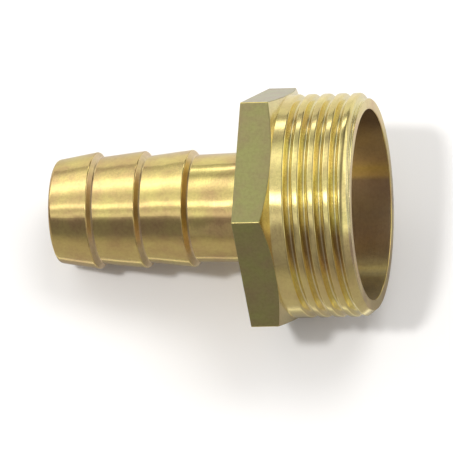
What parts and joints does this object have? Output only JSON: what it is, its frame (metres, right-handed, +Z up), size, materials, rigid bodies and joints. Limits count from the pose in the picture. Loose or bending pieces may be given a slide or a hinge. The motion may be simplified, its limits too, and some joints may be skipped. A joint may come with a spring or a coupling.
{
  "type": "hose barb tail",
  "caption": "Brass hose tail: ridged spigot for a push-on hose, hexagon for a spanner, and a short male pipe thread with a wide mouth.",
  "frame": {"origin": "on the surface that the fitting lies on, under the middle of its length and width", "axes": "+Z up from that surface; +X along the fitting from the hose tip to the threaded mouth, which is raised 16.4 degrees; +Y across"},
  "size_m": [0.0414, 0.0304, 0.0288],
  "materials": {
    "brass": "turned, bright, with drawn matt flats on the hexagon"
  },
  "bodies": {
    "root": {"hose_tail": "brass"}
  },
  "joints": []
}
